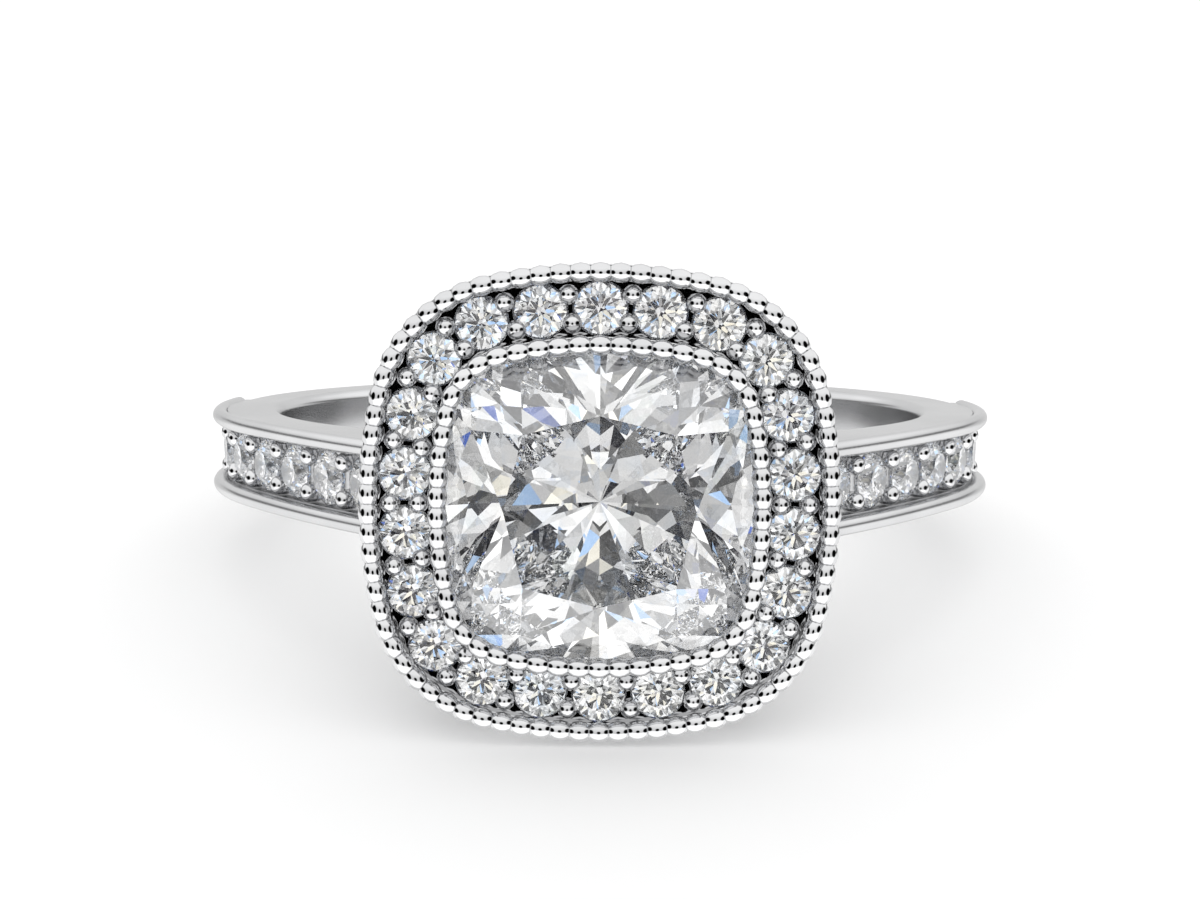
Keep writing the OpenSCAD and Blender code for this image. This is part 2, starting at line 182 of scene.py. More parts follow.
@dataclass(frozen=True)
class RingSizes:
    """Sizes that several parts share, in millimetres, as in the part's source."""

    hole_r: float = 8.5
    comfort_r: float = 0.26
    shank_t: float = 1.23
    shank_w: float = 2.0
    band_h: float = 0.15
    wire_d: float = 0.39
    wire_sink: float = 0.02
    wire_out: float = 0.07
    sweep_from: float = math.radians(58.75)
    collar_foot: float = 2.75
    collar_top: float = 3.7
    rim_rise: float = 2.84
    rim_h: float = 0.19
    tray_t: float = 0.65
    skirt_h: float = 0.7
    wall_t: float = 0.34
    bezel_rise: float = 0.51
    lip: float = 0.09
    lip_t: float = 0.1
    crown_deg: float = 34.0
    seat_gap: float = 0.03
    girdle_t: float = 0.08
    halo_stone_d: float = 1.09
    halo_wall_gap: float = 0.02
    halo_count: int = 22
    shoulder_stone_d: float = 1.28
    shoulder_stone_gap: float = 0.31
    shoulder_start: float = 0.24
    shoulder_tail: float = 1.4
    shoulder_count: int = 7
    channel_gap: float = 0.03
    channel_end_share: float = 0.62
    stone_lift: float = 0.02
    cushion: Cushion = field(default_factory=Cushion)

    @property
    def hoop_r(self) -> float:
        """Outer radius of the plain hoop."""
        return self.hole_r + self.shank_t

    @property
    def band_r(self) -> float:
        """Radius of the raised band's top."""
        return self.hoop_r + self.band_h

    @property
    def wire_r(self) -> float:
        """Radius of the wires' middle line."""
        return self.band_r + self.wire_d / 2 - self.wire_sink

    @property
    def wire_z(self) -> float:
        """Distance of the wires from the hoop's middle plane."""
        return self.shank_w / 2 + self.wire_out - self.wire_d / 2

    @property
    def rim_top(self) -> float:
        """Height of the rim's top above the finger axis."""
        return self.hoop_r + self.rim_rise

    @property
    def floor(self) -> float:
        """Height of the halo channel's floor."""
        return self.rim_top - self.rim_h

    @property
    def tray_bottom(self) -> float:
        """Height of the underside of the plate under the halo."""
        return self.floor - self.tray_t

    @property
    def bezel_top(self) -> float:
        """Height of the bezel's top."""
        return self.rim_top + self.bezel_rise

    @property
    def crown_slope(self) -> float:
        """How steeply the centre stone's crown rises."""
        return math.tan(math.radians(self.crown_deg))

    @property
    def girdle_top(self) -> float:
        """Height of the top of the centre stone's girdle."""
        return self.bezel_top - self.lip_t - self.lip * self.crown_slope - self.seat_gap

    @property
    def bezel_in(self) -> float:
        """Half width of the bezel's inner edge."""
        return self.cushion.stone_half - self.lip

    @property
    def bezel_out(self) -> float:
        """Half width of the bezel's outer wall."""
        return self.bezel_in + self.wall_t

    @property
    def rim_in(self) -> float:
        """Half width of the rim's inner wall."""
        return self.bezel_out + self.halo_stone_d + 2 * self.halo_wall_gap

    @property
    def rim_out(self) -> float:
        """Half width of the rim's outer wall."""
        return self.rim_in + self.wall_t

    @property
    def halo_row(self) -> float:
        """Half width of the line through the halo stones."""
        return (self.bezel_out + self.rim_in) / 2

    @property
    def sweep_out(self) -> Vector:
        """Direction, right and outward, in which the sweep starts."""
        return Vector((math.sin(self.sweep_from), math.cos(self.sweep_from)))

    @property
    def sweep_end(self) -> float:
        """Half width at which the sweep reaches the collar."""
        return (self.collar_foot + self.collar_top) / 2

    @property
    def sweep_shift(self) -> float:
        """How far the sweep's centre lies behind the finger axis."""
        end = Vector((self.sweep_end, self.tray_bottom + self.wire_d / 2))
        reach = end.length_squared - self.wire_r**2
        return reach / (2 * (self.wire_r - end.dot(self.sweep_out)))

    def sweep_angle(self, radius: float, half: float) -> float:
        """Direction in which a sweep of this radius reaches this half width."""
        back = half + self.sweep_shift * math.sin(self.sweep_from)
        return math.asin(back / (radius + self.sweep_shift))

    @property
    def sweep_turn(self) -> float:
        """Angle that the whole sweep covers."""
        return self.sweep_from - self.sweep_angle(self.wire_r, self.sweep_end)

    @property
    def shoulder_girdle(self) -> float:
        """Radius of the shoulder stones' girdles."""
        return self.hoop_r + self.stone_lift

    @property
    def shoulder_pitch(self) -> float:
        """Distance from one shoulder stone to the next."""
        return self.shoulder_stone_d + self.shoulder_stone_gap

    @property
    def first_stone(self) -> float:
        """Length along the sweep from its start to the first shoulder stone."""
        half = self.rim_out + self.shoulder_start
        turn = self.sweep_from - self.sweep_angle(self.shoulder_girdle, half)
        return (self.shoulder_girdle + self.sweep_shift) * turn

    @property
    def channel_half(self) -> float:
        """Half width of the shoulder channel."""
        return self.shoulder_stone_d / 2 + self.channel_gap

    @property
    def channel_end(self) -> float:
        """Angle from the head at which the shoulder channel ends."""
        last = self.first_stone - (self.shoulder_count - 1) * self.shoulder_pitch
        rest = self.channel_end_share * self.shoulder_pitch - last
        return self.sweep_from + rest / self.shoulder_girdle

    @property
    def channel_turn(self) -> float:
        """Angle of the sweep up to which the shoulder channel runs."""
        length = self.first_stone + self.channel_end_share * self.shoulder_pitch
        return length / (self.shoulder_girdle + self.sweep_shift)

    @property
    def shoulder_end(self) -> float:
        """Angle from the head at which band and wires end."""
        return self.channel_end + self.shoulder_tail / self.hoop_r

    @property
    def lean(self) -> float:
        """Angle by which the finger axis leans as the ring lies."""
        reach = self.rim_top - self.skirt_h + self.hoop_r
        return math.atan((self.rim_out - self.shank_w / 2) / reach)

    @property
    def as_it_lies(self) -> Matrix:
        """Turns the ring from its own frame, in millimetres, to where it lies, in metres."""
        return Matrix.Rotation(-self.lean, 4, "X") @ Matrix.Scale(MM, 4)

    @property
    def on_head(self) -> Matrix:
        """Turns right, up and outward on the head into the ring's own frame."""
        return Matrix.Rotation(QUARTER_TURN, 4, "X")

    def on_shoulder(self, side: int, along: float) -> Matrix:
        """The place on a shoulder's floor at a length along it.

        Args:
            side: -1 for the left shoulder, 1 for the right one.
            along: Length from the start of the sweep, positive towards the head.

        Returns:
            A matrix whose +Z points out of the shoulder, with its foot on the finger axis.
        """
        round_turn = self.sweep_from + max(-along, 0) / self.shoulder_girdle
        sweep_turn = max(along, 0) / (self.shoulder_girdle + self.sweep_shift)
        shift = Matrix.Translation((0, 0, self.sweep_shift))
        return (
            Matrix.Rotation(side * round_turn, 4, "Z")
            @ self.on_head
            @ shift.inverted()
            @ Matrix.Rotation(-side * sweep_turn, 4, "Y")
            @ shift
        )


class Wave:
    """A node socket whose arithmetic adds Math nodes."""

    def __init__(self, graph: "Graph", socket: bpy.types.NodeSocket) -> None:
        """Wraps one output socket of a graph."""
        self.graph = graph
        self.socket = socket

    def _math(self, operation: str, *values: object) -> "Wave":
        """Adds one Math node and returns its output."""
        return self.graph.node("ShaderNodeMath", {"operation": operation}, dict(enumerate(values)))

    def __add__(self, other: object) -> "Wave":
        """Sum of two values."""
        return self._math("ADD", self, other)

    __radd__ = __add__

    def __sub__(self, other: object) -> "Wave":
        """Difference of two values."""
        return self._math("SUBTRACT", self, other)

    def __rsub__(self, other: object) -> "Wave":
        """Difference of a number and this value."""
        return self._math("SUBTRACT", other, self)

    def __mul__(self, other: object) -> "Wave":
        """Product of two values."""
        return self._math("MULTIPLY", self, other)

    __rmul__ = __mul__

    def step(self, low: float, high: float) -> "Wave":
        """Rises smoothly from 0 at the low value to 1 at the high one."""
        return self.graph.node(
            "ShaderNodeMapRange",
            {"interpolation_type": "SMOOTHSTEP"},
            {"Value": self, "From Min": low, "From Max": high},
        )


class Graph:
    """A node tree that is filled by expressions."""

    def __init__(self, tree: bpy.types.NodeTree) -> None:
        """Empties the tree."""
        self.tree = tree
        tree.nodes.clear()

    @classmethod
    def of_material(cls, name: str) -> tuple[bpy.types.Material, "Graph"]:
        """Makes a material and its empty graph."""
        made = bpy.data.materials.new(name)
        made.use_nodes = True
        return made, cls(made.node_tree)

    def node(
        self,
        kind: str,
        settings: dict[str, object] | None = None,
        inputs: dict[object, object] | None = None,
        output: object = 0,
    ) -> Wave | None:
        """Adds one node.

        Args:
            kind: The node's type.
            settings: Its settings, which are set first. "stops" are a ramp's stops and
                "blending" is how it goes from one to the next.
            inputs: Values or links of its sockets, by name or number.
            output: Name or number of the output to return.

        Returns:
            The chosen output, or None for a node that has no outputs.
        """
        made = self.tree.nodes.new(kind)
        for key, value in (settings or {}).items():
            if key == "stops":
                self._set_stops(made, value)
            elif key == "blending":
                made.color_ramp.interpolation = value
            else:
                setattr(made, key, value)
        for key, value in (inputs or {}).items():
            socket = made.inputs[key]
            if isinstance(value, Wave):
                self.tree.links.new(value.socket, socket)
            else:
                socket.default_value = (*value, 1) if socket.type == "RGBA" else value
        return Wave(self, made.outputs[output]) if made.outputs else None

    @staticmethod
    def _set_stops(ramp: bpy.types.Node, stops: Stops) -> None:
        """Gives a colour ramp its stops, each a place and a colour."""
        elements = ramp.color_ramp.elements
        while len(elements) < len(stops):
            elements.new(1.0)
        for element, (place, colour) in zip(elements, stops):
            element.position = place
            element.color = (*colour, 1)

    def mix(self, share: Wave, low: Colour | Wave, high: Colour | Wave) -> Wave:
        """Mixes two colours by a share."""
        inputs = {0: share, 6: low, 7: high}
        return self.node("ShaderNodeMix", {"data_type": "RGBA"}, inputs, 2)

    def vector(self, operation: str, one: object, other: object, output: object = 0) -> Wave:
        """Adds one Vector Math node and returns its output."""
        inputs = {0: one, 1: other}
        return self.node("ShaderNodeVectorMath", {"operation": operation}, inputs, output)

    def cells(self, texture: dict[str, str], inputs: dict[str, object], ramp: dict) -> Wave:
        """Cells that each take one colour of a ramp, by the settings of texture and ramp."""
        found = self.node("ShaderNodeTexVoronoi", texture, inputs, "Color")
        pick = self.node("ShaderNodeSeparateColor", {}, {"Color": found})
        return self.node("ShaderNodeValToRGB", ramp, {"Fac": pick})

    def place(self) -> Wave:
        """The surface point in the piece's own coordinates."""
        return self.node("ShaderNodeTexCoord", output="Object")

    def noise(self, per_mm: float, detail: float = 2, seed: float = 0) -> Wave:
        """Smooth noise with so many waves in a millimetre."""
        return self.node(
            "ShaderNodeTexNoise",
            {"noise_dimensions": "4D"},
            {"Vector": self.place(), "W": seed, "Scale": per_mm / MM, "Detail": detail},
        )

    def surface(self, inputs: dict[str, object]) -> None:
        """Ends a material in one Principled shader."""
        shader = self.node("ShaderNodeBsdfPrincipled", inputs=inputs)
        self.node("ShaderNodeOutputMaterial", inputs={"Surface": shader})


@dataclass(frozen=True)
class PolishedGold:
    """White gold with a polisher's faint ripples and clouds."""

    name: str = "polished_white_gold"
    dark: Colour = (0.59, 0.592, 0.6)
    light: Colour = (0.67, 0.672, 0.678)
    roughness: float = 0.025
    roughness_range: float = 0.04
    ripple: float = 0.02
    ripple_mm: float = 0.01
    ripples_per_mm: float = 3.0
    clouds_per_mm: float = 0.35
    edge_tint: float = 0.8

    def material(self) -> bpy.types.Material:
        """Makes the material."""
        made, graph = Graph.of_material(self.name)
        cloud = graph.noise(self.clouds_per_mm)
        fine = graph.noise(self.ripples_per_mm, 3, 1.0)
        relief = {"Strength": self.ripple, "Distance": self.ripple_mm * MM, "Height": fine}
        graph.surface(
            {
                "Base Color": graph.mix(cloud.step(0.3, 0.7), self.dark, self.light),
                "Metallic": 1.0,
                "Roughness": self.roughness + fine * self.roughness_range,
                "Specular Tint": grey(self.edge_tint),
                "Normal": graph.node("ShaderNodeBump", {}, relief),
            }
        )
        return made


@dataclass(frozen=True)
class CutDiamond:
    """Clear diamond whose base colour holds painted glints: patches of coloured light, as the facets
    split it, painted into the colour.
    """

    row: Row
    cell_mm: float
    # How much of the clear base colour the painted coloured glints cover.
    painted_glint_share: float
    seed: float
    ior: float = 2.42
    patches_per_cell: float = 0.8
    # Colours of the painted glints of split light.
    painted_glints: Stops = (
        (0.0, (0.35, 0.62, 1.0)),
        (0.3, (0.6, 0.8, 1.0)),
        (0.42, grey(1.0)),
        (0.78, grey(1.0)),
        (0.86, (1.0, 0.86, 0.62)),
        (1.0, (0.72, 1.0, 0.86)),
    )

    def material(self) -> bpy.types.Material:
        """Makes the material."""
        made, graph = Graph.of_material(f"diamond_of_{self.row.value}")
        cells = {"Vector": graph.place(), "W": self.seed, "Scale": 1 / (self.cell_mm * MM)}
        # Cells of painted coloured glints, each one colour of the ramp.
        painted_glints = graph.cells({"voronoi_dimensions": "4D"}, cells, {"stops": self.painted_glints})
        patches = graph.noise(self.patches_per_cell / self.cell_mm, 1, self.seed)
        # Where the painted glints show over the clear white base colour.
        share = patches.step(0.42, 0.62) * self.painted_glint_share
        graph.surface(
            {
                "Base Color": graph.mix(share, grey(1.0), painted_glints),
                "Roughness": 0.0,
                "IOR": self.ior,
                "Transmission Weight": 1.0,
            }
        )
        return made


@dataclass(frozen=True)
class PaleFloor:
    """A matt white sheet with the faintest unevenness."""

    name: str = "pale_floor"
    low: Colour = grey(0.955)
    high: Colour = grey(0.975)
    clouds_per_mm: float = 0.02
    roughness: float = 0.9

    def material(self) -> bpy.types.Material:
        """Makes the material."""
        made, graph = Graph.of_material(self.name)
        colour = graph.mix(graph.noise(self.clouds_per_mm), self.low, self.high)
        graph.surface(
            {"Base Color": colour, "Roughness": self.roughness, "Specular IOR Level": 0.0}
        )
        return made


class Bench:
    """The few hand moves that the pieces are made with."""

    @staticmethod
    def mode(kind: str) -> None:
        """Enters edit or object mode."""
        bpy.ops.object.mode_set(mode=kind)

    @staticmethod
    def clear() -> None:
        """Leaves edit mode and deselects everything."""
        if bpy.context.object and bpy.context.object.mode != "OBJECT":
            Bench.mode("OBJECT")
        bpy.ops.object.select_all(action="DESELECT")

    @staticmethod
    def open_all() -> None:
        """Enters edit mode with every corner selected."""
        Bench.mode("EDIT")
        bpy.ops.mesh.select_mode(type="VERT")
        bpy.ops.mesh.select_all(action="SELECT")

    @staticmethod
    def outline(name: str, points: list[Vector]) -> Piece:
        """Starts a piece from a circle whose corners are pulled to an outline.

        Args:
            name: The piece's name.
            points: The closed outline's corners, in order.

        Returns:
            The piece, in edit mode, with its whole outline selected.
        """
        Bench.clear()
        bpy.ops.mesh.primitive_circle_add(vertices=len(points), radius=1.0)
        piece = bpy.context.object
        piece.name = name
        for vertex, point in zip(piece.data.vertices, points):
            vertex.co = point
        Bench.open_all()
        return piece

    @staticmethod
    def spin(centre: tuple[float, float, float], angle: float, steps: int) -> None:
        """Turns the selected outline round +Z, clockwise, and leaves its last copy selected."""
        bpy.ops.mesh.spin(steps=steps, angle=angle, center=centre, axis=(0, 0, 1))

    @staticmethod
    def close(piece: Piece) -> Piece:
        """Merges doubles, fills open ends, points the faces outwards and leaves edit mode."""
        bpy.ops.mesh.select_all(action="SELECT")
        bpy.ops.mesh.remove_doubles(threshold=NEAR)
        bpy.ops.mesh.fill_holes(sides=0)
        bpy.ops.mesh.select_all(action="SELECT")
        bpy.ops.mesh.normals_make_consistent(inside=False)
        Bench.mode("OBJECT")
        return piece

    @staticmethod
    def select_only(piece: Piece) -> None:
        """Makes a piece the one that operators act on."""
        Bench.clear()
        piece.select_set(True)
        bpy.context.view_layer.objects.active = piece

    @staticmethod
    def pick(piece: Piece, kind: str, fits: Callable[[object], bool]) -> None:
        """Enters edit mode with only those corners, or faces, selected that fit."""
        Bench.select_only(piece)
        Bench.mode("EDIT")
        bpy.ops.mesh.select_mode(type=kind)
        bpy.ops.mesh.select_all(action="DESELECT")
        Bench.mode("OBJECT")
        for part in piece.data.vertices if kind == "VERT" else piece.data.polygons:
            part.select = fits(part)
        Bench.mode("EDIT")

    @staticmethod
    def _combine(piece: Piece, other: Piece, operation: str, solver: str) -> None:
        """Combines a piece with another one, which is removed."""
        Bench.select_only(piece)
        made = piece.modifiers.new("combine", "BOOLEAN")
        made.operation = operation
        made.solver = solver
        made.object = other
        bpy.ops.object.modifier_apply(modifier=made.name)
        bpy.data.objects.remove(other)

    @staticmethod
    def carve(piece: Piece, tool: Piece) -> None:
        """Cuts a tool's shape out of a piece, and removes the tool."""
        Bench._combine(piece, tool, "DIFFERENCE", "MANIFOLD")

    @staticmethod
    def weld(piece: Piece, other: Piece) -> None:
        """Grows another shape together with a piece, and removes the other."""
        Bench._combine(piece, other, "UNION", "EXACT")

    @staticmethod
    def join(name: str, pieces: list[Piece]) -> Piece:
        """Joins pieces into the first one and names it."""
        Bench.clear()
        for piece in pieces:
            piece.select_set(True)
        bpy.context.view_layer.objects.active = pieces[0]
        bpy.ops.object.join()
        pieces[0].name = name
        pieces[0].data.name = name
        return pieces[0]

    @staticmethod
    def copies(name: str, model: Piece, places: list[Matrix]) -> Piece:
        """Copies a model to many places and joins the copies.

        Args:
            name: Name of the joined piece.
            model: The model, which is removed.
            places: Where each copy goes.

        Returns:
            The joined piece.
        """
        made = []
        for place in places:
            twin = model.copy()
            twin.data = model.data.copy()
            twin.data.transform(place)
            bpy.context.scene.collection.objects.link(twin)
            made.append(twin)
        bpy.data.objects.remove(model)
        return Bench.join(name, made)

    @staticmethod
    def smooth(piece: Piece, degrees: float) -> None:
        """Shades a piece smooth except over edges sharper than an angle."""
        Bench.select_only(piece)
        bpy.ops.object.shade_smooth_by_angle(angle=math.radians(degrees))


@dataclass
class MountingPart:
    """What the parts of the mounting have in common."""

    sizes: RingSizes
    gold: bpy.types.Material
    edge_deg: float = 35.0

    def dress(self, piece: Piece) -> Piece:
        """Lays a finished piece down, polishes it and fixes it to the ring.

        Args:
            piece: The piece in the ring's own frame, in millimetres.

        Returns:
            The same piece.
        """
        piece.data.transform(self.sizes.as_it_lies)
        Bench.smooth(piece, self.edge_deg)
        piece.data.materials.clear()
        piece.data.materials.append(self.gold)
        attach(piece, "root")
        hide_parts(MOUNTING)
        return piece


@dataclass
class SeatDrill:
    """The cones that the stones' seats are drilled with."""

    sizes: RingSizes
    gap: float = 0.035
    steps: int = 40
    table_share: float = 0.56
    crown_share: float = 0.155
    girdle_share: float = 0.035
    pavilion_share: float = 0.43
    halo_lift: float = 0.04

    def cone(self, diameter: float) -> Piece:
        """Turns the drill for one stone size, with the girdle at the origin."""
        r, top = diameter / 2, diameter * self.girdle_share / 2
        base = -top - self.gap
        profile = [
            (r + self.gap, base),
            (r + self.gap, top + self.gap),
            (r * self.table_share + self.gap, top + diameter * self.crown_share),
        ]
        Bench.clear()
        bpy.ops.mesh.primitive_circle_add(vertices=self.steps, radius=1, fill_type="NOTHING")
        piece = bpy.context.object
        Bench.open_all()
        size, height = 1.0, 0.0
        for n, (wide, high) in enumerate(profile):
            if n:
                bpy.ops.mesh.extrude_region_move()
            bpy.ops.transform.resize(value=(wide / size, wide / size, 1))
            bpy.ops.transform.translate(value=(0, 0, high - height))
            size, height = wide, high
        bpy.ops.mesh.edge_face_add()
        Bench.pick(piece, "VERT", lambda corner: abs(corner.co.z - base) < NEAR)
        low = -top - diameter * self.pavilion_share - 2 * self.gap
        bpy.ops.mesh.extrude_region_move(TRANSFORM_OT_translate={"value": (0, 0, low - base)})
        bpy.ops.mesh.merge(type="CENTER")
        return Bench.close(piece)

    def halo(self) -> Piece:
        """The drills of the halo stones, in the head's frame."""
        s = self.sizes
        step = 4 * s.cushion.quarter_length(s.halo_row) / s.halo_count
        height = s.floor + self.halo_lift
        places = [
            Matrix.Translation((*s.cushion.point(s.halo_row, i * step), height))
            for i in range(s.halo_count)
        ]
        return Bench.copies("halo_drills", self.cone(s.halo_stone_d), places)

    def shoulders(self) -> Piece:
        """The drills of the shoulder stones, in the ring's own frame."""
        s = self.sizes
        places = [
            s.on_shoulder(side, s.first_stone - i * s.shoulder_pitch)
            @ Matrix.Translation((0, 0, s.shoulder_girdle))
            for side in SIDES
            for i in range(s.shoulder_count)
        ]
        return Bench.copies("shoulder_drills", self.cone(s.shoulder_stone_d), places)


@dataclass
class Shank(MountingPart):
    """Hoop, raised shoulders with their stone channels, and the seats in them."""

    hoop_steps: int = 240
    round_steps: int = 28
    sweep_steps: int = 20
    comfort_steps: int = 8
    overlap: float = 0.3
    fill_over: float = 0.25
    light_hole_d: float = 1.1
    light_hole_steps: int = 40
    edge_bevel: float = 0.012

    def build(self) -> Piece:
        """Models the shank and drills its seats."""
        piece = self._hoop()
        for side in SIDES:
            Bench.weld(piece, self._shoulder(side))
        for side in SIDES:
            Bench.carve(piece, self._channel(side))
        Bench.carve(piece, SeatDrill(self.sizes).shoulders())
        Bench.carve(piece, self._light_hole())
        return self.dress(piece)

    def _light_hole(self) -> Piece:
        """The tool that drills the light hole under the centre stone."""
        s = self.sizes
        Bench.clear()
        bpy.ops.mesh.primitive_cylinder_add(
            vertices=self.light_hole_steps,
            radius=self.light_hole_d / 2,
            depth=2 * s.shank_t,
            location=(0, -(s.hole_r + s.hoop_r) / 2, 0),
            rotation=(QUARTER_TURN, 0, 0),
        )
        return bpy.context.object

    def _outer_edges(self, radius: float) -> list[Point]:
        """Corners of the two bevelled outer edges at a radius."""
        half, b = self.sizes.shank_w / 2, self.edge_bevel
        return [(radius - b, -half), (radius, -half + b), (radius, half - b), (radius - b, half)]

    def _hoop(self) -> Piece:
        """Spins the hoop's cross-section, with rounded inner edges, round the finger."""
        s = self.sizes
        half, r = s.shank_w / 2, s.comfort_r
        profile = self._outer_edges(s.hoop_r)
        for side, first in ((1, QUARTER_TURN), (-1, 2 * QUARTER_TURN)):
            centre = (s.hole_r + r, side * (half - r))
            profile += arc(centre, r, first, QUARTER_TURN, self.comfort_steps)
        piece = Bench.outline("shank", [Vector((x, 0, z)) for x, z in profile])
        Bench.spin((0, 0, 0), 4 * QUARTER_TURN, self.hoop_steps)
        return Bench.close(piece)

    def _sweep_centre(self, side: int) -> tuple[float, float, float]:
        """Centre of a shoulder's sweep in the ring's own frame."""
        s = self.sizes
        return (-side * s.sweep_shift * s.sweep_out.x, s.sweep_shift * s.sweep_out.y, 0)

    def _at(self, side: int, angle: float, radius: float, z: float) -> Vector:
        """A point beside the finger axis at an angle from the head."""
        return Vector((side * radius * math.sin(angle), -radius * math.cos(angle), z))

    def swept(
        self, name: str, side: int, profile: list[Point], start: float, turn: float
    ) -> Piece:
        """Sweeps a profile along a shoulder.

        Args:
            name: The piece's name.
            side: -1 for the left shoulder, 1 for the right one.
            profile: Corners as radius and distance from the middle plane.
            start: Angle from the head at which the sweep's round part starts.
            turn: Angle that it covers of the sweep up to the head.

        Returns:
            The closed piece.
        """
        s = self.sizes
        piece = Bench.outline(name, [self._at(side, start, r, z) for r, z in profile])
        Bench.spin((0, 0, 0), side * (start - s.sweep_from), self.round_steps)
        Bench.spin(self._sweep_centre(side), side * turn, self.sweep_steps)
        return Bench.close(piece)

    def _shoulder(self, side: int) -> Piece:
        """The raised band with the solid metal under its sweep."""
        s = self.sizes
        inner, half = s.hoop_r - self.overlap, s.shank_w / 2
        profile = [(inner, -half), *self._outer_edges(s.band_r), (inner, half)]
        piece = self.swept(f"shoulder{side}", side, profile, s.shoulder_end, s.sweep_turn)
        self._fill_under(piece, side)
        return piece

    def _fill_under(self, piece: Piece, side: int) -> None:
        """Pulls the inner face of the sweep down into the hoop."""
        s = self.sizes
        centre = Vector(self._sweep_centre(side))
        inner = s.hoop_r - self.overlap
        hoop_middle = s.hoop_r - s.shank_t / 2
        for vertex in piece.data.vertices:
            flat = Vector((vertex.co.x, vertex.co.y, 0))
            angle = math.atan2(side * flat.x, -flat.y)
            swept_r = (flat - centre).length - s.sweep_shift
            if angle < s.sweep_from - NEAR and abs(swept_r - inner) < NEAR:
                share = min(1, (s.sweep_from - angle) / s.sweep_from / self.fill_over)
                radius = min(flat.length, inner + (hoop_middle - inner) * share)
                vertex.co = self._at(side, angle, radius, vertex.co.z)

    def _channel(self, side: int) -> Piece:
        """The tool that cuts a shoulder's stone channel."""
        s = self.sizes
        half, top = s.channel_half, s.band_r + s.wire_d
        profile = [(s.hoop_r, -half), (top, -half), (top, half), (s.hoop_r, half)]
        return self.swept(f"channel{side}", side, profile, s.channel_end, s.channel_turn)


@dataclass
class EdgeWires(Shank):
    """The two round wires along each shoulder, with rounded ends."""

    wire_points: int = 24
    cap_rings: int = 5
    cap_top: float = 0.35

    def build(self) -> Piece:
        """Models one wire for each edge of each shoulder and joins them."""
        wires = [self._wire(side, edge) for side in SIDES for edge in SIDES]
        return self.dress(Bench.join("edge_wires", wires))

    def _wire(self, side: int, edge: int) -> Piece:
        """One wire, from its rounded end up into the collar."""
        s = self.sizes
        centre = (s.wire_r, edge * s.wire_z)
        profile = arc(centre, s.wire_d / 2, 0, 4 * QUARTER_TURN, self.wire_points)[:-1]
        wire = self.swept(f"wire{side}{edge}", side, profile, s.shoulder_end, s.sweep_turn)
        self._round_end(wire, side, edge)
        return wire

    def _round_end(self, wire: Piece, side: int, edge: int) -> None:
        """Grows a dome out of the flat face at the wire's free end."""
        s = self.sizes
        middle = self._at(side, s.shoulder_end, s.wire_r, edge * s.wire_z)
        along = Vector((side * math.cos(s.shoulder_end), math.sin(s.shoulder_end), 0))
        Bench.pick(wire, "FACE", lambda face: (face.center - middle).length < NEAR)
        done, wide = 0.0, 1.0
        for n in range(1, self.cap_rings + 1):
            angle = QUARTER_TURN * n / (self.cap_rings + self.cap_top)
            reach, width = s.wire_d / 2 * math.sin(angle), math.cos(angle)
            bpy.ops.mesh.extrude_region_move()
            bpy.ops.transform.translate(value=along * (reach - done))
            bpy.ops.transform.resize(value=[width / wide] * 3)
            done, wide = reach, width
        Bench.mode("OBJECT")


@dataclass
class Head(MountingPart):
    """Rim, halo channel, bezel and collar, swept round the cushion outline."""

    arc_steps: int = 26
    skirt_bevel: float = 0.3
    collar_t: float = 0.55
    collar_sink: float = 0.5
    throat_half: float = 2.854
    throat_drop: float = 0.45
    edge_bevel: float = 0.018

    def build(self) -> Piece:
        """Models the head and drills the halo's seats."""
        s = self.sizes
        c = s.cushion
        piece = Bench.outline("head", [Vector((0, *corner)) for corner in self._profile()])
        turn = Matrix.Identity(3)
        side = Vector((0, -c.side_centre, 0))
        middle = Vector((c.corner_centre, c.corner_centre, 0))
        steps = self.arc_steps
        for _ in range(4):
            Bench.spin(turn @ side, c.side_turn, steps // 2)
            Bench.spin(turn @ middle, c.corner_turn, steps)
            turn = Matrix.Rotation(-QUARTER_TURN, 3, "Z") @ turn
            Bench.spin(turn @ side, c.side_turn, steps // 2)
        Bench.close(piece)
        Bench.carve(piece, SeatDrill(s).halo())
        piece.data.transform(s.on_head)
        return self.dress(piece)

    def _profile(self) -> list[Point]:
        """Corners of the head's wall as half width and height above the finger axis."""
        s = self.sizes
        b = self.edge_bevel
        pocket = s.cushion.stone_half + s.seat_gap
        ledge_top = s.girdle_top - s.girdle_t - s.seat_gap
        collar_bottom = s.hoop_r - self.collar_sink
        return [
            (s.rim_out - b, s.rim_top),
            (s.rim_out, s.rim_top - b),
            (s.rim_out, s.rim_top - s.skirt_h),
            (s.rim_out - self.skirt_bevel, s.tray_bottom),
            (s.collar_top, s.tray_bottom),
            (s.collar_foot, collar_bottom),
            (s.collar_foot - self.collar_t, collar_bottom),
            (self.throat_half, ledge_top - self.throat_drop),
            (pocket, ledge_top),
            (pocket, s.girdle_top + s.seat_gap),
            (s.bezel_in, s.bezel_top - s.lip_t),
            (s.bezel_in, s.bezel_top - b),
            (s.bezel_in + b, s.bezel_top),
            (s.bezel_out - b, s.bezel_top),
            (s.bezel_out, s.bezel_top - b),
            (s.bezel_out, s.floor),
            (s.rim_in, s.floor),
            (s.rim_in, s.rim_top - b),
            (s.rim_in + b, s.rim_top),
        ]


@dataclass(frozen=True)
class Bead:
    """One kind of bead: its size, its lift off its floor, and where its ball is cut."""

    diameter: float
    lift: float
    cut_share: float


